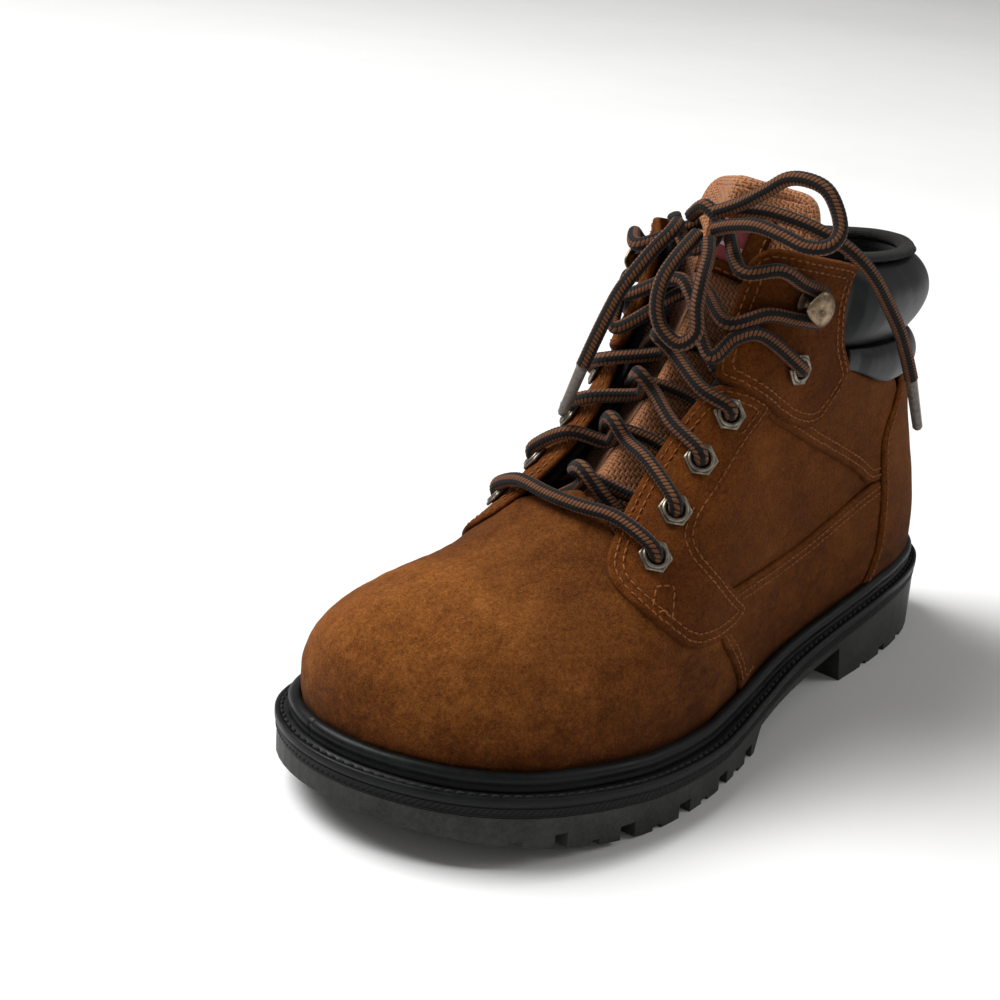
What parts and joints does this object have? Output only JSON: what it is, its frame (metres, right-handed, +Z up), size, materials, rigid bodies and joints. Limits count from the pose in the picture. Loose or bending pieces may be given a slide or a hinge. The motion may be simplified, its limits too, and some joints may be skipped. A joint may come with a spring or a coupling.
{
  "type": "steel toe work boot",
  "caption": "Ankle-high lace-up work boot with a steel toe, suede upper, padded collar and tongue, lugged rubber sole and tied laces.",
  "frame": {"origin": "on the ground, under the centre of the boot's box", "axes": "+X towards the toe, +Y towards the outer side of this left boot, +Z up from the ground"},
  "size_m": [0.3054, 0.1234, 0.2014],
  "materials": {
    "rubber_sole": "matte black moulded rubber",
    "rubber_welt": "black rubber, rounded edge polished",
    "board": "pressed fibre board",
    "steel": "plain pressed steel",
    "cork": "ground cork",
    "footbed_foam": "cloth covered foam",
    "suede_light": "tan suede, napped",
    "suede_mid": "tan suede, napped",
    "suede_dark": "red brown suede, napped",
    "lining_cloth": "woven lining",
    "lining_black": "black mesh lining",
    "collar_leather": "smooth black coated leather",
    "binding_tape": "black woven tape",
    "tongue_nylon": "heavy basket weave nylon",
    "foam": "open cell foam",
    "label_cloth": "woven label, plain bars",
    "antique_metal": "antique nickel and brass",
    "lace_braid": "round braid, black and brown",
    "aglet_plastic": "clear plastic sleeve over the braid"
  },
  "bodies": {
    "boot": {"outsole": "rubber_sole", "midsole": "rubber_sole", "welt": "rubber_welt", "rand": "rubber_welt", "insole_board": "board", "shank": "steel", "sole_filler": "cork", "toe_cap": "steel", "toe_cap_edge": "rubber_welt", "vamp": "suede_light", "vamp_lining": "lining_cloth", "side_panel_outer": "suede_mid", "side_panel_inner": "suede_mid", "foxing_outer": "suede_mid", "foxing_inner": "suede_mid", "quarter_band_outer": "suede_mid", "quarter_band_inner": "suede_mid", "eyestay_outer": "suede_dark", "eyestay_inner": "suede_dark", "collar_tab_outer": "suede_dark", "collar_tab_inner": "suede_dark", "heel_cover": "suede_mid", "heel_counter": "board", "quarter_lining": "lining_black", "collar_pad_upper": "collar_leather", "collar_pad_lower": "collar_leather", "collar_binding": "binding_tape", "eyelets_outer": "antique_metal", "eyelets_inner": "antique_metal", "hooks_outer": "antique_metal", "hooks_inner": "antique_metal", "lace": "lace_braid", "lace_knot": "lace_braid", "bow_loop_left": "lace_braid", "bow_loop_right": "lace_braid", "lace_end_left": "lace_braid", "lace_end_right": "lace_braid", "aglet_left": "aglet_plastic", "aglet_right": "aglet_plastic"},
    "tongue": {"tongue_face": "tongue_nylon", "tongue_foam": "foam", "tongue_lining": "lining_black", "tongue_patch": "suede_dark", "tongue_label": "label_cloth"},
    "footbed": {"footbed": "footbed_foam"}
  },
  "joints": [
    {"name": "tongue_tilt", "type": "hinge", "parent": "boot", "child": "tongue", "pos_m": [0.066, 0, 0.072], "axis": [0, -1, 0], "range_deg": [0, 8]},
    {"name": "footbed_lift", "type": "hinge", "parent": "boot", "child": "footbed", "pos_m": [0.132, 0, 0.029], "axis": [0, 1, 0], "range_deg": [0, 6]}
  ]
}
